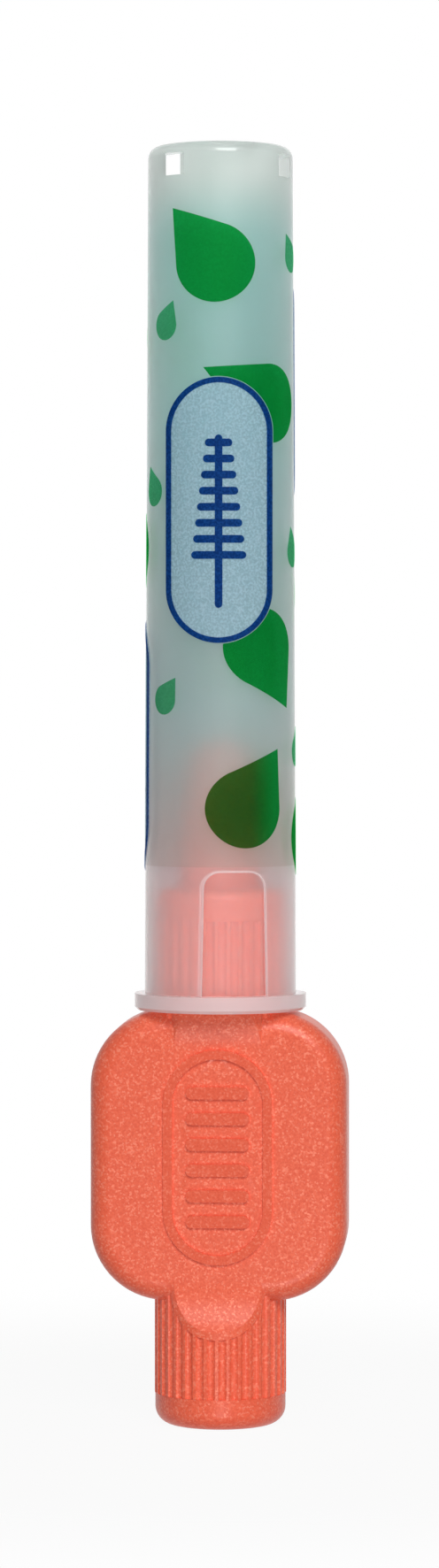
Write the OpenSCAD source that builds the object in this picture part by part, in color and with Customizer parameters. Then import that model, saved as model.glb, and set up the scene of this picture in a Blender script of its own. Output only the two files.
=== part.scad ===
// Interdental brush. A flat thumb grip carries a ribbed plug at each end. A twisted wire
// with radial filaments is rooted in the nose of the upper plug, and a clear vented cap
// is pushed over the brush until its mouth sits on the grip.
// Millimetres. +Z runs from the foot to the closed end of the cap, and -Y is the front.

/* [Grip] */
// Width of the thumb grip
grip_w = 17; // [13:0.5:24]
// Height of the thumb grip
grip_h = 19.2; // [17:0.2:30]
// Thickness of the thumb grip, less than the diameter of the plugs
grip_t = 6.6; // [5:0.1:8]
// Radius of the four corners of the grip
grip_corner_r = 5; // [3:0.25:6]
// Radius of the roll along the edges of the grip
grip_roll_r = 1.4; // [0.6:0.1:2]
// Radius of the scoops where the faces of the grip run out into the plugs
scoop_r = 5.5; // [3:0.25:9]
// How far below the top of the grip the upper scoops begin
scoop_top_rise = 2.5; // [1.4:0.1:3.5]
// Width of the smooth lip that parts the scoops from the flutes
scoop_lip = 0.3; // [0.1:0.05:0.8]

/* [Raised ring on the grip] */
// Width of the ring on each face
ring_w = 7.2; // [5:0.2:9]
// Height of the ring on each face
ring_h = 14.2; // [10:0.2:14.6]
// Width of the line that draws the ring
ring_line = 0.6; // [0.3:0.05:1]
// Height of the ring and the bars above the face
relief_h = 0.2; // [0.08:0.01:0.3]
// Number of grip bars inside the ring
bar_count = 6; // [3:1:8]
// Length of a grip bar
bar_len = 4.2; // [2.5:0.1:5]
// Thickness of a grip bar
bar_t = 0.8; // [0.4:0.05:1.1]
// Distance from one grip bar to the next
bar_pitch = 1.7; // [1.2:0.05:2]

/* [Plugs] */
// Diameter of both plugs over their ribs
plug_d = 8.76; // [8.3:0.02:9.2]
// Length of the lower plug, from the foot to the grip
low_plug_len = 8.4; // [6:0.2:14]
// Length of the upper plug, from the grip to its shoulder
up_plug_len = 8.1; // [6:0.1:8.8]
// Number of ribs round a plug
rib_count = 36; // [24:1:44]
// Depth of the flutes between the ribs
flute_depth = 0.16; // [0.06:0.01:0.3]
// Radius of the flutes between the ribs
flute_r = 0.32; // [0.2:0.01:0.36]
// Length of the smooth band beyond the ribs, with its rounded edge
band_len = 2.1; // [1.8:0.1:3]
// How far the smooth band lies below the tops of the ribs
band_drop = 0.04; // [0.02:0.01:0.1]
// Radius of the rounded edge of the foot
foot_r = 1.2; // [0.5:0.1:1.7]
// Radius of the rounded shoulder of the upper plug
shoulder_r = 0.8; // [0.3:0.1:1.5]

/* [Nose] */
// Length of the nose above the shoulder
nose_len = 9.9; // [6:0.1:14]
// Diameter of the nose where it leaves the shoulder
nose_base_d = 5.6; // [4.8:0.1:6.4]
// Diameter of the nose below its dome
nose_tip_d = 4.7; // [4:0.1:5]
// Radius of the dome that ends the nose
dome_r = 2; // [1:0.1:2.3]

/* [Wire] */
// Diameter of the steel strand that is folded and twisted
strand_d = 0.22; // [0.14:0.01:0.3]
// Gap between the two legs, which holds the filaments
leg_gap = 0.08; // [0.07:0.01:0.14]
// Length of one full turn of the twist
twist_pitch = 1.6; // [1.4:0.1:2.4]
// Depth of the wire inside the nose
root_len = 4.8; // [3:0.1:8]
// Bare wire between the nose and the filaments
bare_len = 5; // [2:0.1:8]
// Wire beyond the last filament
tip_len = 1.1; // [0.5:0.1:2]
// Clearance round the wire in its socket
socket_clear = 0.01; // [0.005:0.005:0.05]

/* [Filaments] */
// Length of the brush along the wire
brush_len = 12.5; // [8:0.1:16]
// Diameter of the brush over its filaments
brush_d = 2.5; // [1.6:0.1:5]
// Number of filaments, each with a strand to both sides of the wire
filament_count = 200; // [150:1:240]
// Width of a filament
filament_w = 0.06; // [0.04:0.005:0.065]
// Half width of the strip that the filaments form between the legs
strip_half_w = 0.17; // [0.14:0.01:0.19]
// Length at the tip over which the filaments get shorter
brush_taper_len = 2; // [0.5:0.1:4]

/* [Cap] */
// Length of the cap
cap_len = 57.2; // [50:0.1:70]
// Wall of the cap round the ribs of the plug
mouth_wall = 0.6; // [0.5:0.01:0.9]
// How much slimmer the closed end of the cap is than its foot
cap_taper = 0.46; // [0.2:0.02:0.8]
// Radius of the edge of the closed end
cap_edge_r = 0.8; // [0.3:0.1:1.2]
// Turn of the cap about the axis, away from the front of the grip
cap_turn = 15; // [-90:1:90]
// Clearance between the ribs and the cap
cap_clear = 0.05; // [0.02:0.01:0.1]
// Depth of the wide mouth that takes the plug
mouth_len = 9.6; // [9:0.1:12]
// Wall above the mouth
cap_wall = 0.78; // [0.65:0.01:0.95]
// Thickness of the end plate
end_plate_t = 0.74; // [0.5:0.02:1.1]

/* [Cap flange] */
// How far the flange stands out from the cap
flange_rim = 0.67; // [0.4:0.01:2]
// Height of the flange
flange_h = 1.1; // [0.7:0.1:2]
// Chamfer below the flange
flange_chamfer = 0.2; // [0.05:0.05:0.5]

/* [Cap vents] */
// Height of the vents below the end plate
vent_h = 1.46; // [0.8:0.02:3]
// Thickness of the wall beside the vents
vent_wall = 0.85; // [0.7:0.01:1]
// Height of the thicker wall below the sills of the vents
vent_step_h = 1.4; // [0.6:0.1:3]
// Half width of the front panel between the vents
front_panel_half_w = 3.18; // [2:0.02:3.6]
// Half width of the bridge across the closed end
bridge_half_w = 1.55; // [1:0.05:1.9]
// Thickness of the posts at the sides of the vents
post_t = 0.65; // [0.5:0.01:0.9]

/* [Arched panel] */
// Height of the thin arched panel above the flange
arch_h = 8.2; // [5:0.1:10]
// Width of the arched panel at the flange
arch_base_w = 4.4; // [3:0.1:6]
// Width of the arched panel at its top
arch_top_w = 4.1; // [3:0.1:6]
// Radius of the upper corners of the arched panel
arch_r = 1.1; // [0.4:0.1:1.4]
// Depth of the arched panel below the surface of the cap
arch_depth = 0.18; // [0.08:0.01:0.3]

/* [Print] */
// Thickness of a layer of ink
ink_t = 0.03; // [0.02:0.005:0.05]
// Radius of the round end of a large drop
drop_r = 2.6; // [1.5:0.1:3]
// Length of a large drop, from its round end to its point
drop_len = 7.2; // [6.2:0.1:9]
// Length of a small drop as a share of a large one
small_drop_share = 0.38; // [0.25:0.01:0.5]
// Width of the label
label_w = 7; // [5:0.1:8]
// Height of the label
label_h = 17.4; // [12:0.1:22]
// Height of the middle of the front label above the mouth of the cap
label_z = 33; // [26:0.5:37]
// Turn of the front label about the cap, from the front of the cap
label_turn = -13; // [-60:1:60]
// Bare gap between a label and the drops that it cuts off
label_gap = 0.06; // [0.02:0.02:0.3]
// Width of the border round the label
label_line = 0.36; // [0.2:0.02:0.6]
// Width of the lines of the brush sign on the label
sign_line = 0.5; // [0.3:0.05:0.7]
// Number of bars of the brush sign
sign_bars = 8; // [4:1:10]
// Length of the longest bar of the brush sign
sign_bar_len = 3.6; // [2:0.1:4.6]
// Distance from one bar of the brush sign to the next
sign_pitch = 1.05; // [0.8:0.05:1.2]

/* [Hidden] */
$fn = 64;

// Length by which cuts run past the surfaces that they cut
overrun = 0.5;

// Heights of the stations along the axis, from the foot up
plug_r = plug_d / 2;
grip_z = low_plug_len;
grip_top_z = grip_z + grip_h;
grip_mid_z = grip_z + grip_h / 2;
shoulder_z = grip_top_z + up_plug_len;
nose_top_z = shoulder_z + nose_len;
brush_z = nose_top_z + bare_len;
wire_z = nose_top_z - root_len;
wire_tip_z = brush_z + brush_len + tip_len;

// Wire
leg_r = strand_d / 2;
leg_off = leg_r + leg_gap / 2;
fold_z = wire_tip_z - leg_off - leg_r;
leg_len = fold_z - wire_z;
rings_per_turn = 8;
leg_rings = ceil(leg_len / twist_pitch * rings_per_turn);
fold_rings = 4;
strand_sides = 6;

// Filaments. Each takes a slab of its own along the wire, and a gap parts it from the next.
filament_step = brush_len / filament_count;
filament_h_share = 0.72;
filament_h = filament_step * filament_h_share;
taper_end_share = 0.72;

// Cap, from its mouth up
cap_z = grip_top_z;
mouth_r = plug_r + cap_clear;
cap_base_r = mouth_r + mouth_wall;
cap_end_r = cap_base_r - cap_taper / 2;
flange_r = cap_base_r + flange_rim;
post_x = cap_end_r - post_t;
cone_len = cap_len - cap_edge_r;
lead_in = cap_clear + flute_depth;
sill_z = cap_len - end_plate_t - vent_h;
vent_bore_r = cap_end_r - vent_wall;

// Print. Each row is the turn about the cap, the height as a share of the cap, and the tilt.
large_drop_shares = [
    [-16, 0.86, 38],
    [8, 0.235, -32],
    [22, 0.42, -150],
    [30, 0.7, 60],
    [113, 0.482, 24],
    [177, 0.43, 160],
    [-138, 0.78, 145],
    [-119, 0.535, 168],
    [90, 0.2, -25],
    [148, 0.27, 160]
];
small_drop_shares = [
    [-60, 0.79, -25],
    [-75, 0.6, 20],
    [-60, 0.36, -35],
    [62, 0.87, 30],
    [72, 0.3, -20],
    [64, 0.53, 15],
    [-170, 0.66, 35],
    [-154, 0.9, -30],
    [136, 0.08, 25],
    [-125, 0.085, -20]
];

// Labels. Each row is the turn from the front label, and the rise as a share of its height.
label_shares = [
    [0, 0],
    [-114.5, -0.89],
    [138, 0.46]
];
flank_share = 0.998;
sign_z_share = 0.1;
sign_stem_share = 0.4;
shortest_bar_share = 0.5;

// Radius of the cap's outer cone at a height above its mouth
function cap_r_at(z) = cap_base_r + (cap_end_r - cap_base_r) * z / cone_len;

// Two triangles for a face with four corners
function split(a, b, c, d) = [[a, b, c], [a, c, d]];

// Turn of the twist at a height
function twist(z) = 360 * (z - wire_z) / twist_pitch;

// Unit vectors across and along the strip of filaments, and the pair of legs
function across(angle) = [cos(angle), sin(angle), 0];
function along(angle) = [-sin(angle), cos(angle), 0];

// Flat shape with straight sides and round ends, upright
module stadium(w, h) {
    square([w, h - w], center = true);
    for (side = [-1, 1])
        translate([0, side * (h - w) / 2])
            circle(d = w);
}

// Half of the grip's section across one edge: flat faces, with a roll on each
module roll_section(reach) {
    flat = grip_t / 2 - grip_roll_r;
    translate([0, -grip_t / 2])
        square([reach - grip_roll_r, grip_t]);
    translate([0, -flat])
        square([reach, 2 * flat]);
    for (side = [-1, 1])
        translate([reach - grip_roll_r, side * flat])
            circle(r = grip_roll_r);
}

// Thumb grip: four rolled corners, the rolled edges between them, and the middle
module grip_slab() {
    edge_x = grip_w / 2 - grip_corner_r;
    edge_z = grip_h / 2 - grip_corner_r;
    translate([0, 0, grip_mid_z])
        rotate([90, 0, 0]) {
            for (x = [-1, 1], z = [-1, 1])
                translate([x * edge_x, z * edge_z, 0])
                    rotate_extrude()
                        intersection() {
                            roll_section(grip_corner_r);
                            translate([0, -grip_t])
                                square([grip_w, 2 * grip_t]);
                        }
            for (turn = [0, 180]) {
                rotate([0, 0, turn])
                    translate([edge_x, edge_z, 0])
                        rotate([90, 0, 0])
                            linear_extrude(2 * edge_z)
                                roll_section(grip_corner_r);
                rotate([0, 0, turn + 90])
                    translate([edge_z, edge_x, 0])
                        rotate([90, 0, 0])
                            linear_extrude(2 * edge_x)
                                roll_section(grip_corner_r);
            }
            cube([2 * edge_x, 2 * edge_z, grip_t], center = true);
        }
}

// Raised ring with grip bars, drawn in the plane of a face
module relief_outline() {
    difference() {
        stadium(ring_w, ring_h);
        stadium(ring_w - 2 * ring_line, ring_h - 2 * ring_line);
    }
    for (i = [0 : bar_count - 1])
        translate([0, (i - (bar_count - 1) / 2) * bar_pitch])
            rotate([0, 0, 90])
                stadium(bar_t, bar_len);
}

// The relief on the front face and on the back face
module relief() {
    for (turn = [0, 180])
        rotate([0, 0, turn])
            translate([0, -grip_t / 2 + grip_roll_r, grip_mid_z])
                rotate([90, 0, 0])
                    linear_extrude(grip_roll_r + relief_h)
                        relief_outline();
}

// Section of a plug with its ribs
module rib_section() {
    difference() {
        circle(r = plug_r);
        for (i = [0 : rib_count - 1])
            rotate([0, 0, (i + 1 / 2) * 360 / rib_count])
                translate([plug_r + flute_r - flute_depth, 0])
                    circle(r = flute_r);
    }
}

// Round bars across a plug, on both sides, whose radius is that of the scoops and their lip
module scoop_bars(root_z, lip) {
    for (side = [-1, 1])
        translate([0, side * (grip_t / 2 + scoop_r), root_z])
            rotate([0, 90, 0])
                cylinder(r = scoop_r + lip, h = plug_d + 2 * overrun, center = true);
}

// Plug that points down: a smooth band with a rounded edge, ribs above it, and a scoop on
// each side that runs out flush with the face of the grip, with a smooth lip round it
module plug(length, edge_r, scoop_rise) {
    band_r = plug_r - band_drop;
    root_z = length + scoop_rise;
    difference() {
        union() {
            rotate_extrude() {
                square([band_r - edge_r, band_len]);
                translate([0, edge_r])
                    square([band_r, band_len - edge_r]);
                intersection() {
                    translate([band_r - edge_r, edge_r])
                        circle(r = edge_r);
                    square([band_r, band_len]);
                }
            }
            translate([0, 0, band_len])
                linear_extrude(root_z - band_len)
                    rib_section();
            intersection() {
                translate([0, 0, band_len])
                    cylinder(r = plug_r, h = root_z - band_len);
                scoop_bars(root_z, scoop_lip);
            }
        }
        scoop_bars(root_z, 0);
    }
}

// Nose of the upper plug: a slim cone with a domed end
module nose() {
    dome_z = nose_len - dome_r;
    cylinder(r1 = nose_base_d / 2, r2 = nose_tip_d / 2, h = dome_z);
    translate([0, 0, dome_z])
        rotate_extrude()
            intersection() {
                union() {
                    square([nose_tip_d / 2 - dome_r, dome_r]);
                    translate([nose_tip_d / 2 - dome_r, 0])
                        circle(r = dome_r);
                }
                square([nose_tip_d / 2, dome_r]);
            }
}

// One moulding: lower plug, thumb grip, upper plug and nose, with the socket of the wire
module handle() {
    color([0.94, 0.42, 0.33])
        difference() {
            union() {
                grip_slab();
                relief();
                plug(low_plug_len, foot_r, grip_roll_r);
                translate([0, 0, shoulder_z])
                    mirror([0, 0, 1])
                        plug(up_plug_len, shoulder_r, scoop_top_rise);
                translate([0, 0, shoulder_z])
                    nose();
            }
            translate([0, 0, wire_z - leg_r - socket_clear])
                cylinder(r = leg_off + leg_r + socket_clear, h = root_len + leg_r + overrun);
        }
}

// Ring of points round a path, in the plane of two unit vectors
function ring(centre, n1, n2) = [
    for (k = [0 : strand_sides - 1])
        centre + leg_r * (cos(360 * k / strand_sides) * n1 + sin(360 * k / strand_sides) * n2)
];

// Ring on a leg of the twist. The path runs up one leg and down the other.
function leg_ring(z, side) =
    let (
        n1 = side * across(twist(z)),
        rise = [0, 0, side],
        slope = 2 * PI * leg_off / twist_pitch * along(twist(z)),
        path = (rise + slope) / norm(rise + slope)
    )
    ring([0, 0, z] + leg_off * n1, n1, cross(path, n1));

// Ring on the fold that joins the legs at the tip
function fold_ring(angle) =
    let (
        n0 = across(twist(fold_z)),
        n1 = cos(angle) * n0 + sin(angle) * [0, 0, 1]
    )
    ring([0, 0, fold_z] + leg_off * n1, n1, along(twist(fold_z)));

// Steel strand, folded in half and twisted
module core_wire() {
    rings = concat(
        [for (i = [0 : leg_rings - 1]) leg_ring(wire_z + leg_len * i / leg_rings, 1)],
        [for (i = [0 : fold_rings]) fold_ring(180 * i / fold_rings)],
        [for (i = [leg_rings - 1 : -1 : 0]) leg_ring(wire_z + leg_len * i / leg_rings, -1)]
    );
    n = strand_sides;
    last = (len(rings) - 1) * n;
    walls = [
        for (i = [0 : len(rings) - 2], k = [0 : n - 1])
            each split(i * n + k, i * n + n + k, i * n + n + (k + 1) % n, i * n + (k + 1) % n)
    ];
    ends = [
        for (k = [1 : n - 2])
            each [[0, k, k + 1], [last, last + k + 1, last + k]]
    ];
    color("silver")
        polyhedron(points = [for (r = rings) each r], faces = concat(walls, ends));
}

// Reach of a filament from the axis, shorter near the tip
function reach(z) =
    let (left = min(1, (brush_z + brush_len - z) / brush_taper_len))
    brush_d / 2 * (taper_end_share + (1 - taper_end_share) * sin(90 * left));

// Sixteen points of a filament: the strip's lower and upper corners, then both free ends
function filament_points(z) =
    let (
        angle = twist(z + filament_h / 2),
        w = filament_w / 2 * across(angle),
        s = strip_half_w * along(angle),
        t = reach(z) * along(angle),
        low = [0, 0, z],
        high = [0, 0, z + filament_h]
    )
    [
        low + w - s, low + w + s, low - w + s, low - w - s,
        high + w - s, high + w + s, high - w + s, high - w - s,
        low + w + t, low - w + t, high - w + t, high + w + t,
        low - w - t, low + w - t, high + w - t, high - w - t
    ];

// Walls of a strand that grows from a side of the strip, whose corners are a to d clockwise
function strand_faces(a, b, c, d, ta, tb, tc, td) = concat(
    split(a, b, tb, ta), split(b, c, tc, tb), split(c, d, td, tc), split(d, a, ta, td),
    split(ta, tb, tc, td)
);

// Nylon filaments, held side by side between the legs as a twisted strip
module bristles() {
    count = 16;
    points = [
        for (i = [0 : filament_count - 1])
            each filament_points(brush_z + i * filament_step)
    ];
    filaments = [
        for (i = [0 : filament_count - 1])
            let (b = i * count)
            each concat(
                split(b, b + 4, b + 5, b + 1),
                split(b + 2, b + 6, b + 7, b + 3),
                strand_faces(b + 1, b + 5, b + 6, b + 2, b + 8, b + 11, b + 10, b + 9),
                strand_faces(b + 3, b + 7, b + 4, b, b + 12, b + 15, b + 14, b + 13)
            )
    ];
    gaps = [
        for (i = [0 : filament_count - 2], k = [0 : 3])
            let (b = i * count + 4, t = (i + 1) * count, m = (k + 1) % 4)
            each split(b + k, t + k, t + m, b + m)
    ];
    top = (filament_count - 1) * count + 4;
    ends = concat(split(0, 1, 2, 3), split(top + 3, top + 2, top + 1, top));
    color("ivory")
        polyhedron(points = points, faces = concat(filaments, gaps, ends));
}

// Cone that follows the outside of the cap, set off from it
module cap_cone(offset) {
    cylinder(r1 = cap_base_r + offset, r2 = cap_end_r + offset, h = cone_len);
}

// Section of the outside of the cap, with its flange
module cap_outside() {
    polygon([[0, 0], [cap_base_r, 0], [cap_end_r, cone_len], [0, cone_len]]);
    translate([0, cone_len - overrun])
        square([cap_end_r - cap_edge_r, cap_edge_r + overrun]);
    intersection() {
        translate([cap_end_r - cap_edge_r, cone_len])
            circle(r = cap_edge_r);
        translate([0, cone_len])
            square([cap_end_r, cap_edge_r]);
    }
    polygon([
        [0, 0],
        [flange_r - flange_chamfer, 0],
        [flange_r, flange_chamfer],
        [flange_r, flange_h],
        [0, flange_h]
    ]);
}

// Section of the inside of the cap: lead-in, wide mouth, long bore and the step at the vents
module cap_inside() {
    step_z = sill_z - vent_step_h;
    polygon([
        [0, -overrun],
        [mouth_r + lead_in, -overrun],
        [mouth_r + lead_in, 0],
        [mouth_r, lead_in],
        [mouth_r, mouth_len],
        [cap_r_at(mouth_len) - cap_wall, mouth_len],
        [cap_r_at(step_z) - cap_wall, step_z],
        [vent_bore_r, step_z],
        [vent_bore_r, cap_len - end_plate_t],
        [0, cap_len - end_plate_t]
    ]);
}

// Vents on one side: a lane through the end plate and the back wall, and a front window
module vent() {
    top = cap_len + overrun;
    intersection() {
        translate([bridge_half_w, -cap_end_r, sill_z])
            cube([post_x - bridge_half_w, 2 * cap_end_r + overrun, top - sill_z]);
        union() {
            cylinder(r = vent_bore_r, h = top);
            translate([0, 0, sill_z])
                cube([cap_end_r, cap_end_r + overrun, top - sill_z]);
        }
    }
    translate([front_panel_half_w, -cap_end_r - overrun, sill_z])
        cube([post_x - front_panel_half_w, cap_end_r + overrun, vent_h]);
}

// Outline of the thin arched panel
module arch_outline() {
    straight_h = arch_h - arch_r;
    polygon([
        [-arch_base_w / 2, 0],
        [arch_base_w / 2, 0],
        [arch_top_w / 2, straight_h],
        [-arch_top_w / 2, straight_h]
    ]);
    translate([-arch_top_w / 2 + arch_r, 0])
        square([arch_top_w - 2 * arch_r, arch_h]);
    for (side = [-1, 1])
        translate([side * (arch_top_w / 2 - arch_r), straight_h])
            circle(r = arch_r);
}

// Clear cap with a flange at its mouth, a thin arched panel and a vented end
module cap() {
    color([0.80, 0.85, 0.83])
        translate([0, 0, cap_z])
            rotate([0, 0, cap_turn])
                difference() {
                    rotate_extrude()
                        difference() {
                            cap_outside();
                            cap_inside();
                        }
                    vent();
                    mirror([1, 0, 0])
                        vent();
                    difference() {
                        translate([0, 0, flange_h])
                            rotate([90, 0, 0])
                                linear_extrude(cap_base_r + overrun)
                                    arch_outline();
                        cap_cone(-arch_depth);
                    }
                }
}

// Prism that carries a flat outline out through the wall of the cap
module printing_block(turn, z, tilt) {
    translate([0, 0, cap_z])
        rotate([0, 0, cap_turn + turn])
            translate([0, 0, z])
                rotate([90, 0, 0])
                    linear_extrude(cap_base_r + overrun)
                        rotate([0, 0, tilt])
                            children();
}

// Thin shell on the cap that a layer of ink fills
module ink_shell(layer) {
    translate([0, 0, cap_z])
        difference() {
            cap_cone((layer + 1) * ink_t);
            cap_cone(layer * ink_t);
        }
}

// Outline of a drop, its point up, with its round end and straight flanks
module drop_outline(share) {
    r = drop_r * share;
    tip = drop_len * share - r;
    flank = acos(r / tip);
    circle(r = r);
    polygon([
        [0, tip],
        [-r * flank_share * sin(flank), r * flank_share * cos(flank)],
        [0, 0],
        [r * flank_share * sin(flank), r * flank_share * cos(flank)]
    ]);
}

// Prism through the wall of the cap, at every place that has a label
module label_blocks() {
    for (place = label_shares)
        printing_block(
            label_turn + place[0],
            min(label_z + place[1] * label_h, sill_z - label_h / 2 - overrun),
            0
        )
            children();
}

// Row of drops on the cap, cut off where a label lies
module drops(places, share) {
    for (place = places)
        difference() {
            intersection() {
                ink_shell(0);
                printing_block(place[0], place[1] * cap_len, place[2])
                    drop_outline(share);
            }
            label_blocks()
                stadium(label_w + 2 * label_gap, label_h + 2 * label_gap);
        }
}

// Large dark green drops
module print_dark_drops() {
    color([0.02, 0.54, 0.24])
        drops(large_drop_shares, 1);
}

// Small pale green drops
module print_pale_drops() {
    color([0.35, 0.65, 0.45])
        drops(small_drop_shares, small_drop_share);
}

// Pale fields of the labels
module label_field() {
    color([0.72, 0.83, 0.87])
        intersection() {
            ink_shell(0);
            label_blocks()
                stadium(label_w, label_h);
        }
}

// Sign of a small brush: a stem and a row of bars that get shorter towards its end
module brush_sign() {
    bars_h = (sign_bars - 1) * sign_pitch;
    stem_h = bars_h + sign_stem_share * bars_h;
    translate([0, sign_z_share * bars_h]) {
        translate([0, (bars_h - stem_h) / 2])
            stadium(sign_line, stem_h + sign_pitch);
        for (i = [0 : sign_bars - 1])
            translate([0, bars_h * (i / (sign_bars - 1) - 1 / 2)])
                rotate([0, 0, 90])
                    stadium(sign_line, sign_bar_len * (1 - (1 - shortest_bar_share) * i / (sign_bars - 1)));
    }
}

// Dark blue border and brush sign of each label, on its field
module label_ink() {
    color([0.03, 0.26, 0.50])
        intersection() {
            ink_shell(1);
            label_blocks() {
                difference() {
                    stadium(label_w, label_h);
                    stadium(label_w - 2 * label_line, label_h - 2 * label_line);
                }
                brush_sign();
            }
        }
}

handle();
core_wire();
bristles();
cap();
print_dark_drops();
print_pale_drops();
label_field();
label_ink();
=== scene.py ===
import math
import random

import bpy
from mathutils import Matrix, Vector


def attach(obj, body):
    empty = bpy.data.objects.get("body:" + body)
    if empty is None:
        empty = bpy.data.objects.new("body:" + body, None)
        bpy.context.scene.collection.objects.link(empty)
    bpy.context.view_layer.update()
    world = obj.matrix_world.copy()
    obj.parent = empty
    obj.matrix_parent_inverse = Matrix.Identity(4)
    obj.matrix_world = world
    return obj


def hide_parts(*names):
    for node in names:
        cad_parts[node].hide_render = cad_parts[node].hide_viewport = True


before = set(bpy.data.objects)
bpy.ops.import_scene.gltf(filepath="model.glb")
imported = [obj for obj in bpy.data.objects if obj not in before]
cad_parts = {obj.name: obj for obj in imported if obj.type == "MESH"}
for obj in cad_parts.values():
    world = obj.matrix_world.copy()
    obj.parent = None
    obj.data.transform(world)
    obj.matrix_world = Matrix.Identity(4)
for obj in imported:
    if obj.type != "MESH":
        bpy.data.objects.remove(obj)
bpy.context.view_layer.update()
mm = 0.001

# Camera. The photograph was taken from about 320 mm in front of the brush, a little to the
# right and a little above its middle, at which the camera is aimed.
camera_range = 320 * mm
camera_height = 49 * mm
aim_height = 42.57 * mm
camera_turn = math.radians(3.4)
camera_dip = math.atan2(camera_height - aim_height, camera_range)
lens_length = 110.5
frame_shift = -0.0006
bpy.ops.object.camera_add(
    location=(
        camera_range * math.sin(camera_turn),
        -camera_range * math.cos(camera_turn),
        camera_height,
    ),
    rotation=(math.radians(90) - camera_dip, 0, camera_turn),
)
camera = bpy.context.object
camera.name = "camera"
camera.data.lens = lens_length
camera.data.shift_x = frame_shift
camera.data.clip_start = 10 * mm
bpy.context.scene.camera = camera


# Studio. A white sweep stands behind the brush and a white paper floor, which keeps the shadow,
# lies under it. One large soft lamp hangs high in front and a little to the right, a second one
# low in front, and a third overhead.
class Signal:
    """A socket of a material, on which arithmetic makes Math nodes."""

    def __init__(self, finish, socket):
        self.finish = finish
        self.socket = socket

    def __add__(self, other):
        return self.finish.maths("ADD", self, other)

    def __radd__(self, other):
        return self.finish.maths("ADD", other, self)

    def __sub__(self, other):
        return self.finish.maths("SUBTRACT", self, other)

    def __rsub__(self, other):
        return self.finish.maths("SUBTRACT", other, self)

    def __mul__(self, other):
        return self.finish.maths("MULTIPLY", self, other)

    def __rmul__(self, other):
        return self.finish.maths("MULTIPLY", other, self)

    def __gt__(self, other):
        return self.finish.maths("GREATER_THAN", self, other)

    def __lt__(self, other):
        return self.finish.maths("LESS_THAN", self, other)

    def __abs__(self):
        return self.finish.maths("ABSOLUTE", self)


class Finish:
    """The nodes of one material, or of the world when that is given as the owner."""

    def __init__(self, name, owner=None):
        self.owner = owner or bpy.data.materials.new(name)
        self.owner.use_nodes = True
        self.tree = self.owner.node_tree
        self.tree.nodes.clear()

    def node(self, kind, settings=None, inputs=None, output=0):
        made = self.tree.nodes.new(kind)
        for name, value in (settings or {}).items():
            setattr(made, name, value)
        for name, value in (inputs or {}).items():
            if isinstance(value, Signal):
                self.tree.links.new(value.socket, made.inputs[name])
            else:
                made.inputs[name].default_value = value
        return Signal(self, made.outputs[output])

    def maths(self, operation, a, b=0.0):
        return self.node("ShaderNodeMath", {"operation": operation}, {0: a, 1: b})

    def place(self):
        return self.node("ShaderNodeTexCoord", output="Object")

    def axes(self, place):
        return [
            self.node("ShaderNodeSeparateXYZ", None, {"Vector": place}, output=axis)
            for axis in range(3)
        ]

    def noise(self, place, scale, detail, roughness=0.5):
        return self.node(
            "ShaderNodeTexNoise",
            None,
            {"Vector": place, "Scale": scale, "Detail": detail, "Roughness": roughness},
        )

    def bump(self, height, strength, distance):
        return self.node(
            "ShaderNodeBump",
            None,
            {"Strength": strength, "Distance": distance, "Height": height},
        )

    def blend(self, factor, a, b):
        return self.node(
            "ShaderNodeMix",
            {"data_type": "RGBA"},
            {0: factor, 6: a, 7: b},
            output=2,
        )

    def step(self, value, low, high):
        """Rises smoothly from 0 at low to 1 at high."""
        return self.node(
            "ShaderNodeMapRange",
            {"interpolation_type": "SMOOTHSTEP"},
            {"Value": value, "From Min": low, "From Max": high},
        )

    def ray(self, kind):
        return self.node("ShaderNodeLightPath", output=f"Is {kind} Ray")

    def seen_directly(self):
        """1 for what the camera sees, straight, mirrored or through the plastic."""
        through = self.maths("MAXIMUM", self.ray("Transmission"), self.ray("Glossy"))
        return self.maths("MAXIMUM", self.ray("Camera"), through)

    def mix(self, factor, a, b):
        return self.node("ShaderNodeMixShader", None, {0: factor, 1: a, 2: b})

    def surface(self, shader, kind="ShaderNodeOutputMaterial"):
        end = self.tree.nodes.new(kind)
        self.tree.links.new(shader.socket, end.inputs["Surface"])
        return self.owner


white = (1, 1, 1, 1)
ambient_share = 0.09
world = bpy.data.worlds.new("studio")
bpy.context.scene.world = world
sky = Finish("studio", owner=world)
sweep = sky.node(
    "ShaderNodeBackground",
    None,
    {"Color": white, "Strength": ambient_share + sky.seen_directly() * (1 - ambient_share)},
)
sky.surface(sweep, "ShaderNodeOutputWorld")
bpy.context.scene.view_settings.view_transform = "Standard"

lamp_target = Vector((0, 0, 42 * mm))


def lamp(name, place, size, level):
    """A square lamp aimed at the middle of the brush. Level is how bright it makes white."""
    place = Vector(place)
    bpy.ops.object.light_add(type="AREA", location=place)
    made = bpy.context.object
    made.name = name
    made.data.shape = "SQUARE"
    made.data.size = size
    made.data.energy = level * math.pi ** 2 * (place - lamp_target).length_squared
    made.rotation_euler = (lamp_target - place).to_track_quat("-Z", "Y").to_euler()


lamp("lamp_front", place=(100 * mm, -420 * mm, 330 * mm), size=260 * mm, level=0.66)
lamp("lamp_low", place=(50 * mm, -440 * mm, -170 * mm), size=180 * mm, level=0.22)
lamp("lamp_top", place=(-20 * mm, -20 * mm, 520 * mm), size=160 * mm, level=0.05)

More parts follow.
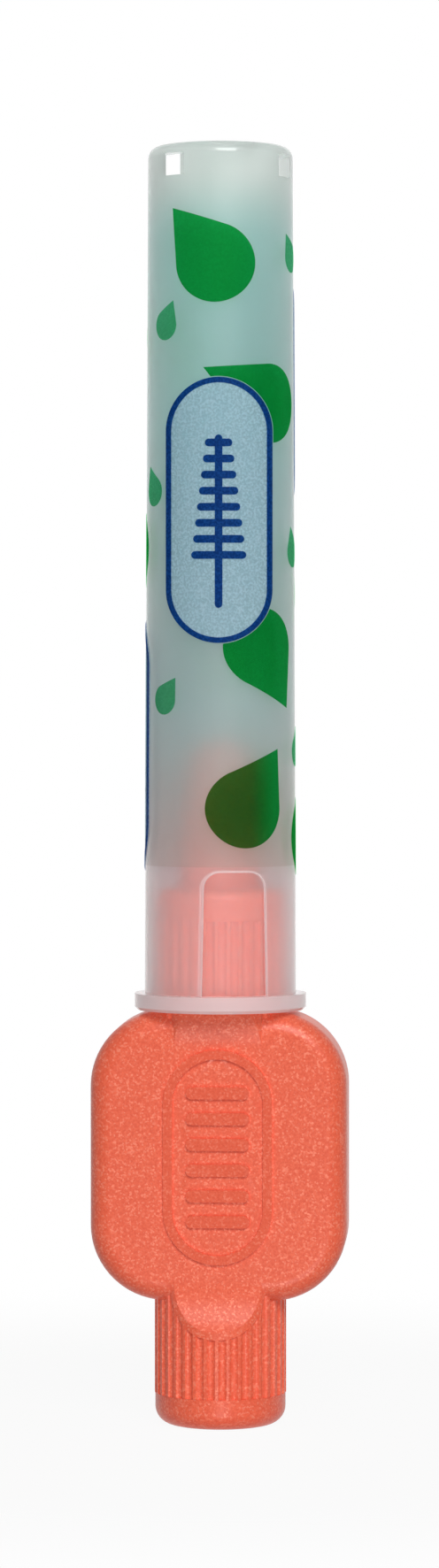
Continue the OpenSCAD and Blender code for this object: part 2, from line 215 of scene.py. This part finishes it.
floor_r = 500 * mm
floor_fade_start = 30 * mm
floor_fade_end = 75 * mm
floor_white_share = 0.94
bpy.ops.object.select_all(action="DESELECT")
bpy.ops.mesh.primitive_circle_add(
    vertices=96, radius=floor_r, fill_type="NGON", location=(0, 0, 0)
)
floor = bpy.context.object
floor.name = "floor"
floor_paper = Finish("floor_paper")
place = floor_paper.place()
away = floor_paper.node(
    "ShaderNodeVectorMath", {"operation": "LENGTH"}, {0: place}, output="Value"
)
grain = floor_paper.noise(place, scale=400.0, detail=3.0)
paper = floor_paper.node(
    "ShaderNodeBsdfPrincipled",
    None,
    {
        "Base Color": floor_paper.blend(grain, (0.52, 0.52, 0.52, 1), (0.56, 0.56, 0.56, 1)),
        "Roughness": 0.9,
        "Specular IOR Level": 0.0,
    },
)
bright = floor_paper.node("ShaderNodeEmission", None, {"Color": white, "Strength": 1.0})
lit = floor_paper.mix(floor_paper.seen_directly() * floor_white_share, paper, bright)
clear = floor_paper.node("ShaderNodeBsdfTransparent", None, {"Color": white})
faded = floor_paper.step(away, floor_fade_start, floor_fade_end)
unseen = floor_paper.maths("MAXIMUM", faded, floor_paper.ray("Shadow"))
floor.data.materials.append(floor_paper.surface(floor_paper.mix(unseen, lit, clear)))


# Handle. One injection moulding in coral plastic with fine pearl flecks: the ribbed lower
# plug, the flat thumb grip with its raised ring, the upper plug and the nose.
def pick(made):
    """Selects one object and nothing else, as the operators need."""
    bpy.ops.object.select_all(action="DESELECT")
    bpy.context.view_layer.objects.active = made
    made.select_set(True)


weld_gap = 0.0005 * mm


def smooth_copy(node, name):
    """A copy of a CAD node's mesh with its corners welded, ready for rounding."""
    made = bpy.data.objects.new(name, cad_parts[node].data.copy())
    bpy.context.scene.collection.objects.link(made)
    pick(made)
    bpy.ops.mesh.customdata_custom_splitnormals_clear()
    bpy.ops.object.mode_set(mode="EDIT")
    bpy.ops.mesh.select_all(action="SELECT")
    bpy.ops.mesh.remove_doubles(threshold=weld_gap)
    bpy.ops.object.mode_set(mode="OBJECT")
    made.data.materials.clear()
    return made


def soften_edges(made, width, angle, smooth_angle):
    """Rounds the sharp edges of a moulding as the mould leaves them."""
    pick(made)
    bevel = made.modifiers.new("edges", "BEVEL")
    bevel.width = width
    bevel.segments = 2
    bevel.limit_method = "ANGLE"
    bevel.angle_limit = math.radians(angle)
    bevel.use_clamp_overlap = True
    bpy.ops.object.modifier_apply(modifier="edges")
    bpy.ops.object.shade_smooth_by_angle(angle=math.radians(smooth_angle))
    weighted = made.modifiers.new("flats", "WEIGHTED_NORMAL")
    weighted.keep_sharp = True
    bpy.ops.object.modifier_apply(modifier="flats")


handle_edge_w = 0.08 * mm
face_depth = 3.3 * mm
relief_h = 0.2 * mm
ring_mid_h = 18 * mm
ring_half_w = 3.7 * mm
ring_half_h = 7.4 * mm
handle = smooth_copy("handle", "handle_moulding")
soften_edges(handle, handle_edge_w, angle=38, smooth_angle=20)

coral_deep = (0.85, 0.105, 0.046, 1)
coral_bright = (0.98, 0.165, 0.078, 1)
coral_cloud = (0.90, 0.122, 0.055, 1)
coral_rubbed = (0.72, 0.085, 0.045, 1)
pearl = (1.0, 0.40, 0.27, 1)
cloud_share = 0.3
rubbed_share = 0.2
pearl_share = 0.34
coral = Finish("coral_plastic")
place = coral.place()
across, depth, height = coral.axes(place)
fine = coral.noise(place, scale=6000.0, detail=3.0, roughness=0.7)
cells = coral.node(
    "ShaderNodeTexVoronoi",
    {"feature": "F1"},
    {"Vector": place, "Scale": 8500.0},
    output="Color",
)
cell = coral.node("ShaderNodeSeparateColor", None, {"Color": cells}, output=0)
fleck = coral.step(cell, 0.62, 1.0)
cloud = coral.noise(place, scale=260.0, detail=2.0)
raised = coral.step(abs(depth), face_depth + relief_h * 0.7, face_depth + relief_h * 0.95)
raised = raised * (abs(across) < ring_half_w) * (abs(height - ring_mid_h) < ring_half_h)
base = coral.blend(coral.step(fine, 0.32, 0.66), coral_deep, coral_bright)
base = coral.blend(coral.step(cloud, 0.35, 0.65) * cloud_share, base, coral_cloud)
base = coral.blend(fleck * pearl_share, base, pearl)
base = coral.blend(raised * rubbed_share, base, coral_rubbed)
relief = fine + fleck * 0.5 + raised * fine * 2.0
coral_shader = coral.node(
    "ShaderNodeBsdfPrincipled",
    None,
    {
        "Base Color": base,
        "Roughness": 0.44 + raised * 0.2,
        "Metallic": fleck * 0.2,
        "IOR": 1.49,
        "Specular IOR Level": 0.3,
        "Coat Weight": 0.28 - raised * 0.14,
        "Coat Roughness": 0.24,
        "Normal": coral.bump(relief, strength=0.4, distance=0.012 * mm),
    },
)
handle.data.materials.append(coral.surface(coral_shader))
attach(handle, "brush")
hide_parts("handle")


# Core wire. One stainless strand is folded in half, twisted on itself and set in the nose
# of the handle. Its fold is the tip of the brush.
strand_r = 0.11 * mm
strand_off = 0.15 * mm
twist_pitch = 1.6 * mm
wire_low = 40.8 * mm
fold_height = 63.94 * mm
points_per_turn = 24
fold_steps = 12


def twist_at(height):
    """How far the wire has turned at a height."""
    return 2 * math.pi * (height - wire_low) / twist_pitch


def leg_point(height, side):
    """The middle of one leg of the wire at a height."""
    turn = twist_at(height)
    return Vector((side * strand_off * math.cos(turn), side * strand_off * math.sin(turn), height))


leg_steps = round((fold_height - wire_low) / twist_pitch * points_per_turn)
heights = [wire_low + (fold_height - wire_low) * i / leg_steps for i in range(leg_steps + 1)]
fold_side = leg_point(fold_height, 1) - Vector((0, 0, fold_height))
route = [leg_point(height, 1) for height in heights]
for i in range(1, fold_steps):
    lean = math.pi * i / fold_steps
    lift = Vector((0, 0, strand_off * math.sin(lean)))
    route.append(Vector((0, 0, fold_height)) + fold_side * math.cos(lean) + lift)
route += [leg_point(height, -1) for height in reversed(heights)]
wire_curve = bpy.data.curves.new("core_wire_strand", "CURVE")
wire_curve.dimensions = "3D"
wire_curve.bevel_depth = strand_r
wire_curve.bevel_resolution = 3
wire_curve.use_fill_caps = True
spline = wire_curve.splines.new("POLY")
spline.points.add(len(route) - 1)
for point, at in zip(spline.points, route):
    point.co = (*at, 1)
wire = bpy.data.objects.new("core_wire_strand", wire_curve)
bpy.context.scene.collection.objects.link(wire)
pick(wire)
bpy.ops.object.convert(target="MESH")
wire = bpy.context.object
bpy.ops.object.shade_smooth_by_angle(angle=math.radians(50))

steel = Finish("steel_wire")
along = steel.node("ShaderNodeMapping", None, {"Vector": steel.place(), "Scale": (1.0, 1.0, 0.08)})
draw = steel.noise(along, scale=30000.0, detail=2.0)
steel_shader = steel.node(
    "ShaderNodeBsdfPrincipled",
    None,
    {
        "Base Color": steel.blend(draw, (0.42, 0.44, 0.46, 1), (0.70, 0.71, 0.72, 1)),
        "Metallic": 1.0,
        "Roughness": 0.22 + draw * 0.2,
        "Normal": steel.bump(draw, strength=0.3, distance=0.004 * mm),
    },
)
wire.data.materials.append(steel.surface(steel_shader))
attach(wire, "brush")
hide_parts("core_wire")


# Filaments. Hundreds of nylon monofilaments are laid between the legs of the wire before it
# is twisted, so they stand out from it as a close spiral that gets shorter at the tip.
brush_low = 50.6 * mm
brush_len = 12.5 * mm
brush_r = 1.25 * mm
filament_r = 0.026 * mm
filament_count = 520
cut_shares = (-0.96, -0.6, -0.2, 0.2, 0.6, 0.96)
end_share = 0.99
thin_end_share = 0.55
taper_len = 2 * mm
tip_share = 0.72
uneven_shares = (0.93, 0.995)
height_spread = 0.03 * mm
bow_spread = 0.05 * mm
turn_spread = 7
lean_spread = 3
bpy.ops.object.select_all(action="DESELECT")
bpy.ops.mesh.primitive_cylinder_add(
    vertices=5, radius=filament_r, depth=2 * brush_r, rotation=(0, math.radians(90), 0)
)
filament = bpy.context.object
bpy.ops.object.transform_apply(location=False, rotation=True, scale=False)
bpy.ops.object.mode_set(mode="EDIT")
for share in cut_shares:
    bpy.ops.mesh.select_all(action="SELECT")
    bpy.ops.mesh.bisect(plane_co=(share * brush_r, 0, 0), plane_no=(1, 0, 0))
bpy.ops.object.mode_set(mode="OBJECT")
for vertex in filament.data.vertices:
    if abs(vertex.co.x) > end_share * brush_r:
        vertex.co.y *= thin_end_share
        vertex.co.z *= thin_end_share
luck = random.Random(7)
filaments = []
for i in range(filament_count):
    height = brush_low + brush_len * (i + 0.5) / filament_count
    height += luck.uniform(-height_spread, height_spread)
    left = min(1.0, max(0.0, (brush_low + brush_len - height) / taper_len))
    reach = tip_share + (1 - tip_share) * math.sin(left * math.pi / 2)
    reach *= luck.uniform(*uneven_shares)
    turn = twist_at(height) + math.pi / 2 + math.radians(luck.gauss(0, turn_spread))
    lean = math.radians(luck.gauss(0, lean_spread))
    bow = luck.uniform(-bow_spread, bow_spread)
    copy = bpy.data.objects.new("filament", filament.data.copy())
    for vertex in copy.data.vertices:
        share = vertex.co.x / brush_r
        vertex.co.y += bow * share * share * (1 if share > 0 else -1)
    aimed = Matrix.Rotation(turn, 4, "Z") @ Matrix.Rotation(lean, 4, "Y")
    aimed = aimed @ Matrix.Diagonal((reach, 1, 1, 1))
    copy.data.transform(Matrix.Translation((0, 0, height)) @ aimed)
    bpy.context.scene.collection.objects.link(copy)
    filaments.append(copy)
pick(filaments[0])
for copy in filaments:
    copy.select_set(True)
bpy.ops.object.join()
bristles = bpy.context.object
bristles.name = "nylon_filaments"
bpy.data.objects.remove(filament)
bpy.ops.object.shade_smooth_by_angle(angle=math.radians(60))

nylon = Finish("white_nylon")
shade = nylon.noise(nylon.place(), scale=2500.0, detail=1.0)
nylon_shader = nylon.node(
    "ShaderNodeBsdfPrincipled",
    None,
    {
        "Base Color": nylon.blend(shade, (0.78, 0.80, 0.77, 1), (0.93, 0.94, 0.92, 1)),
        "Roughness": 0.35 + shade * 0.15,
        "IOR": 1.53,
    },
)
bristles.data.materials.append(nylon.surface(nylon_shader))
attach(bristles, "brush")
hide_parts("bristles")


# Cap. One moulding in milky see-through plastic: a long cone with a flange at its mouth, a
# thin arched panel in front, and lanes and windows at the closed end that let the brush dry.
cap_foot = 27.6 * mm
cap_len = 57.2 * mm
cap_foot_r = 5.03 * mm
cap_end_r = 4.8 * mm
cap_edge_r = 0.8 * mm
cap_cone_len = cap_len - cap_edge_r
cap_wall = 0.78 * mm
cap_edge_w = 0.07 * mm
mouth_r = 4.43 * mm
lead_in = 0.21 * mm
mouth_len = 9.6 * mm
flange_r = 5.7 * mm
flange_h = 1.1 * mm
flange_chamfer = 0.2 * mm
end_plate = 0.74 * mm
vent_h = 1.46 * mm
vent_bore_r = 3.95 * mm
sill = cap_len - end_plate - vent_h
bore_step = sill - 1.4 * mm
panel_half_w = 3.18 * mm
bridge_half_w = 1.55 * mm
post_x = 4.15 * mm
lane_overlap = 0.1 * mm
past = 1 * mm
cap_turn = math.radians(15)
cap_sides = 144
edge_steps = 6
cone_shares = (0.75, 0.5, 0.25)


def cap_r_at(height):
    """Radius of the cap's outer cone at a height above its mouth."""
    return cap_foot_r + (cap_end_r - cap_foot_r) * height / cap_cone_len


def turned(name, outline, sides):
    """Turns an outline of (radius, height) about the axis, as on a lathe, and closes its ends."""
    bpy.ops.object.select_all(action="DESELECT")
    radius, height = outline[0]
    bpy.ops.mesh.primitive_circle_add(
        vertices=sides, radius=radius, fill_type="TRIFAN", location=(0, 0, height)
    )
    made = bpy.context.object
    made.name = name
    bpy.ops.object.transform_apply(location=True, rotation=False, scale=False)
    bpy.ops.object.mode_set(mode="EDIT")
    bpy.ops.mesh.select_all(action="SELECT")
    bpy.ops.mesh.region_to_loop()
    for next_radius, next_height in outline[1:]:
        bpy.ops.mesh.extrude_edges_move(
            TRANSFORM_OT_translate={"value": (0, 0, next_height - height)}
        )
        grow = next_radius / radius
        bpy.ops.transform.resize(value=(grow, grow, 1), center_override=(0, 0, next_height))
        radius, height = next_radius, next_height
    bpy.ops.mesh.edge_face_add()
    bpy.ops.mesh.poke()
    bpy.ops.mesh.select_all(action="SELECT")
    bpy.ops.mesh.normals_make_consistent(inside=False)
    bpy.ops.object.mode_set(mode="OBJECT")
    return made


def box_between(name, low, high):
    """A block between two corners."""
    bpy.ops.object.select_all(action="DESELECT")
    low, high = Vector(low), Vector(high)
    bpy.ops.mesh.primitive_cube_add(size=1, location=(low + high) / 2, scale=high - low)
    made = bpy.context.object
    made.name = name
    bpy.ops.object.transform_apply(location=True, rotation=False, scale=True)
    return made


def cut(made, cutter, operation="DIFFERENCE"):
    """Cuts one shape with another, which is used up."""
    pick(made)
    boolean = made.modifiers.new("cut", "BOOLEAN")
    boolean.operation = operation
    boolean.solver = "EXACT"
    boolean.object = cutter
    bpy.ops.object.modifier_apply(modifier="cut")
    bpy.data.objects.remove(cutter)


cap_outline = [(cap_end_r - cap_edge_r, cap_len)]
for i in range(1, edge_steps + 1):
    lean = math.pi / 2 * (1 - i / edge_steps)
    cap_outline.append(
        (
            cap_end_r - cap_edge_r + cap_edge_r * math.cos(lean),
            cap_cone_len + cap_edge_r * math.sin(lean),
        )
    )
for share in cone_shares:
    cap_outline.append((cap_r_at(cap_cone_len * share), cap_cone_len * share))
cap_outline += [
    (cap_r_at(flange_h), flange_h),
    (flange_r, flange_h),
    (flange_r, flange_chamfer),
    (flange_r - flange_chamfer, 0),
    (mouth_r + lead_in, 0),
    (mouth_r, lead_in),
    (mouth_r, mouth_len),
    (cap_r_at(mouth_len) - cap_wall, mouth_len),
    (cap_r_at(bore_step) - cap_wall, bore_step),
    (vent_bore_r, bore_step),
    (vent_bore_r, cap_len - end_plate),
]
cap = turned("cap_moulding", cap_outline, cap_sides)
for side in (-1, 1):
    low_x, high_x = sorted((side * bridge_half_w, side * post_x))
    lane = box_between("lane", (low_x, 0, sill), (high_x, cap_end_r + past, cap_len + past))
    cut(cap, lane)
    bpy.ops.mesh.primitive_cylinder_add(
        vertices=cap_sides,
        radius=vent_bore_r,
        depth=past + cap_len - sill,
        location=(0, 0, (cap_len + past + sill) / 2),
    )
    front_lane = bpy.context.object
    bpy.ops.object.transform_apply(location=True, rotation=False, scale=False)
    slab_low = (low_x, -cap_end_r - past, 0)
    slab_high = (high_x, lane_overlap, 2 * cap_len)
    cut(front_lane, box_between("slab", slab_low, slab_high), "INTERSECT")
    cut(cap, front_lane)
    low_x, high_x = sorted((side * panel_half_w, side * post_x))
    window_low = (low_x, -cap_end_r - past, sill)
    window_high = (high_x, 0, cap_len - end_plate)
    cut(cap, box_between("window", window_low, window_high))

arch_h = 8.2 * mm
arch_foot_w = 4.4 * mm
arch_top_w = 4.1 * mm
arch_corner_r = 1.1 * mm
arch_depth = 0.18 * mm
corner_steps = 8
arch_outline = [(-arch_foot_w / 2, 0), (arch_foot_w / 2, 0)]
for side in (1, -1):
    for i in range(corner_steps + 1):
        lean = math.pi / 2 * (i if side > 0 else i + corner_steps) / corner_steps
        arch_outline.append(
            (
                side * (arch_top_w / 2 - arch_corner_r) + arch_corner_r * math.cos(lean),
                arch_h - arch_corner_r + arch_corner_r * math.sin(lean),
            )
        )
bpy.ops.object.select_all(action="DESELECT")
bpy.ops.mesh.primitive_circle_add(vertices=len(arch_outline), radius=1, fill_type="NGON")
arch = bpy.context.object
for vertex, (x, z) in zip(arch.data.vertices, arch_outline):
    vertex.co = (x, 0, flange_h + z)
bpy.ops.object.mode_set(mode="EDIT")
bpy.ops.mesh.select_all(action="SELECT")
bpy.ops.mesh.extrude_region_move(TRANSFORM_OT_translate={"value": (0, -cap_foot_r - past, 0)})
bpy.ops.mesh.select_all(action="SELECT")
bpy.ops.mesh.normals_make_consistent(inside=False)
bpy.ops.object.mode_set(mode="OBJECT")
core_outline = [
    (cap_r_at(cap_cone_len) - arch_depth, cap_cone_len),
    (cap_r_at(-past) - arch_depth, -past),
]
cut(arch, turned("arch_core", core_outline, cap_sides))
cut(cap, arch)
cap.data.transform(Matrix.Translation((0, 0, cap_foot)) @ Matrix.Rotation(cap_turn, 4, "Z"))
soften_edges(cap, cap_edge_w, angle=32, smooth_angle=35)

# Painted light: the plastic's tint turns lighter towards the closed end of the cap.
top_light_start = cap_foot + 50.5 * mm
top_light_full = cap_foot + 55.5 * mm
deep_start = cap_foot + 40 * mm
deep_full = cap_foot + 24 * mm
# Painted pink glow of the coral plug, on the cone just above the mouth.
coral_glow_start = cap_foot + mouth_len + 11 * mm
coral_glow_full = cap_foot + mouth_len - 2 * mm
arch_line_w = 0.07 * mm
aqua_tint = (0.43, 0.65, 0.63, 1)
deep_tint = (0.49, 0.61, 0.61, 1)
top_light_tint = (0.70, 0.765, 0.735, 1)
coral_glow_tint = (0.62, 0.52, 0.50, 1)
# Painted light: a pale pink-white, for a painted highlight along the arch's outline and a painted
# glow in the flange.
edge_light_tint = (1.0, 0.82, 0.82, 1)
outline_highlight_share = 0.42
flange_glow_share = 0.4
flange_shade_share = 0.6
glow_share = 0.1
thin_glow_share = 0.05
milky = Finish("clear_plastic")
place = milky.place()
turned_place = milky.node(
    "ShaderNodeVectorRotate",
    {"rotation_type": "Z_AXIS"},
    {"Vector": place, "Angle": -cap_turn},
)
across, depth, height = milky.axes(turned_place)
rise = height - (cap_foot + flange_h)
half_w = arch_foot_w / 2 - rise * ((arch_foot_w - arch_top_w) / 2 / arch_h)
side_in = milky.maths("MAXIMUM", abs(across) - (half_w - arch_corner_r), 0.0)
top_in = milky.maths("MAXIMUM", rise - (arch_h - arch_corner_r), 0.0)
arch_edge = milky.maths("SQRT", side_in * side_in + top_in * top_in) - arch_corner_r
front = (depth < 0.0) * (rise > 0.0)
window = front * (arch_edge < 0.0)
outline = front * (abs(arch_edge) < arch_line_w)
flange = rise < 0.0
mouth = height < cap_foot + mouth_len
haze = milky.noise(place, scale=900.0, detail=3.0, roughness=0.6)
upper_tint = milky.blend(milky.step(height, deep_start, deep_full), aqua_tint, deep_tint)
# Painted light: lighter near the closed end.
upper_tint = milky.blend(milky.step(height, top_light_start, top_light_full), upper_tint, top_light_tint)
# Painted pink glow of the coral plug above the mouth, and the same in the mouth zone below.
upper_tint = milky.blend(milky.step(height, coral_glow_start, coral_glow_full), upper_tint, coral_glow_tint)
mouth_glow_tint = milky.blend(haze, (0.71, 0.635, 0.645, 1), (0.745, 0.67, 0.68, 1))
thin_tint = milky.blend(haze, (0.73, 0.70, 0.72, 1), (0.77, 0.735, 0.755, 1))


def fog(tint, roughness, clear_share):
    """The milky plastic. Clear share is how much of the light goes through it."""
    return milky.node(
        "ShaderNodeBsdfPrincipled",
        None,
        {
            "Base Color": tint,
            "Roughness": roughness,
            "IOR": 1.49,
            "Specular IOR Level": 0.25,
            "Transmission Weight": clear_share,
            "Coat Weight": 0.9,
            "Coat Roughness": 0.1,
        },
    )


upper_fog = fog(upper_tint, 0.40 + haze * 0.06, clear_share=0.74)
mouth_fog = fog(mouth_glow_tint, 0.285 + haze * 0.05, clear_share=0.84)
thin_fog = fog(thin_tint, 0.24 + haze * 0.02, clear_share=0.92)
# Painted light: the pale plastic of the painted highlight round the arch and of the painted glow
# in the flange.
painted_edge_light = milky.node(
    "ShaderNodeBsdfPrincipled",
    None,
    {"Base Color": edge_light_tint, "Roughness": 0.35, "Coat Weight": 0.7, "Coat Roughness": 0.1},
)
glow_through = milky.node("ShaderNodeBsdfTranslucent", None, {"Color": (0.97, 0.96, 0.96, 1)})
lamp_path = milky.node("ShaderNodeBsdfTransparent", None, {"Color": (0.66, 0.66, 0.66, 1)})
thick = milky.mix(glow_share, milky.mix(mouth, upper_fog, mouth_fog), glow_through)
thin = milky.mix(thin_glow_share, thin_fog, glow_through)
# Painted highlight along the arch's outline and painted pale glow over the flange.
pale = outline * outline_highlight_share + flange * flange_glow_share
milky_shader = milky.mix(window, thick, thin)
milky_shader = milky.mix(pale, milky_shader, painted_edge_light)
lamp_share = milky.ray("Shadow") * (1 - flange * flange_shade_share)
milky_shader = milky.mix(lamp_share, milky_shader, lamp_path)
cap.data.materials.append(milky.surface(milky_shader))
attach(cap, "cap")
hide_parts("cap")


# Print. Four layers of ink are printed on the outside of the cap: dark and pale green drops,
# the pale field of the label, and its dark blue border and brush sign.
ink_t = 0.03 * mm
ink_gap = 0.008 * mm
upper_face_share = 0.4
# Where the dark green ink gets a painted warm glow of the coral nose behind it.
nose_glow_start = 46.5 * mm
nose_glow_full = 44 * mm
nose_glow_side_start = 3.9 * mm
nose_glow_side_full = 2.1 * mm


def printed(node, name, layer):
    """A layer of ink, laid on the cap's true cone just clear of the plastic below it."""
    made = smooth_copy(node, name)
    bpy.ops.object.mode_set(mode="EDIT")
    bpy.ops.mesh.select_all(action="SELECT")
    bpy.ops.mesh.subdivide(number_cuts=2)
    bpy.ops.object.mode_set(mode="OBJECT")
    for vertex in made.data.vertices:
        x, y, z = vertex.co
        reach = math.hypot(x, y)
        skin = cap_r_at(z - cap_foot)
        upper = reach - skin > (layer + upper_face_share) * ink_t
        new_reach = skin + (layer + 1) * ink_t if upper else skin + layer * ink_t + ink_gap
        vertex.co = (x * new_reach / reach, y * new_reach / reach, z)
    bpy.ops.object.shade_smooth_by_angle(angle=math.radians(40))
    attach(made, "cap")
    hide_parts(node)
    return made


def ink(name, dark, light, film, cover, glow, nose_glow_film=None):
    """Ink with a fine sparkle. Film is the colour that it lets through, and nose glow film is a
    warmer film for a painted glow of the coral nose, laid where the nose stands behind the ink at
    rest.
    Glow is how much of its body lights up from behind."""
    finish = Finish(name)
    place = finish.place()
    fine = finish.noise(place, scale=6500.0, detail=2.0)
    cloth = finish.noise(place, scale=1500.0, detail=2.0)
    speck = finish.step(fine, 0.35, 0.7)
    solid = finish.node(
        "ShaderNodeBsdfPrincipled",
        None,
        {
            "Base Color": finish.blend(speck * 0.7 + cloth * 0.3, dark, light),
            "Roughness": 0.5 + speck * 0.12,
            "Specular IOR Level": 0.15,
            "Normal": finish.bump(fine, strength=0.3, distance=0.01 * mm),
        },
    )
    lit_through = finish.node("ShaderNodeBsdfTranslucent", None, {"Color": film})
    thin = finish.node("ShaderNodeBsdfTransparent", None, {"Color": film})
    # Painted glow: a warmer film over the place where the coral nose stands behind the ink.
    if nose_glow_film:
        across, _, height = finish.axes(place)
        nose_glow_mask = finish.step(height, nose_glow_start, nose_glow_full)
        nose_glow_mask = nose_glow_mask * finish.step(abs(across), nose_glow_side_start, nose_glow_side_full)
        warm_glow = finish.node("ShaderNodeBsdfTransparent", None, {"Color": nose_glow_film})
        thin = finish.mix(nose_glow_mask, thin, warm_glow)
    body = finish.mix(glow, solid, lit_through)
    return finish.surface(finish.mix((speck * 0.4 + 0.8) * cover, thin, body))


dark_green = ink(
    "dark_green_ink",
    dark=(0.0, 0.30, 0.07, 1),
    light=(0.008, 0.46, 0.13, 1),
    film=(0.18, 0.78, 0.40, 1),
    cover=0.12,
    glow=0.3,
    nose_glow_film=(0.43, 0.58, 0.245, 1),
)
pale_green = ink(
    "pale_green_ink",
    dark=(0.06, 0.34, 0.13, 1),
    light=(0.13, 0.48, 0.22, 1),
    film=(0.48, 0.86, 0.66, 1),
    cover=0.12,
    glow=0.3,
)
ice_blue = ink(
    "ice_blue_ink",
    dark=(0.58, 0.74, 0.82, 1),
    light=(0.68, 0.82, 0.90, 1),
    film=(0.80, 0.92, 0.97, 1),
    cover=0.55,
    glow=0.4,
)
dark_blue = ink(
    "dark_blue_ink",
    dark=(0.002, 0.045, 0.17, 1),
    light=(0.006, 0.10, 0.36, 1),
    film=(0.2, 0.45, 0.8, 1),
    cover=0.6,
    glow=0.3,
)
dark_drops = printed("print_dark_drops", "dark_green_drops", 0)
dark_drops.data.materials.append(dark_green)
pale_drops = printed("print_pale_drops", "pale_green_drops", 0)
pale_drops.data.materials.append(pale_green)
field = printed("label_field", "label_panel", 0)
field.data.materials.append(ice_blue)
sign = printed("label_ink", "label_lines", 1)
sign.data.materials.append(dark_blue)
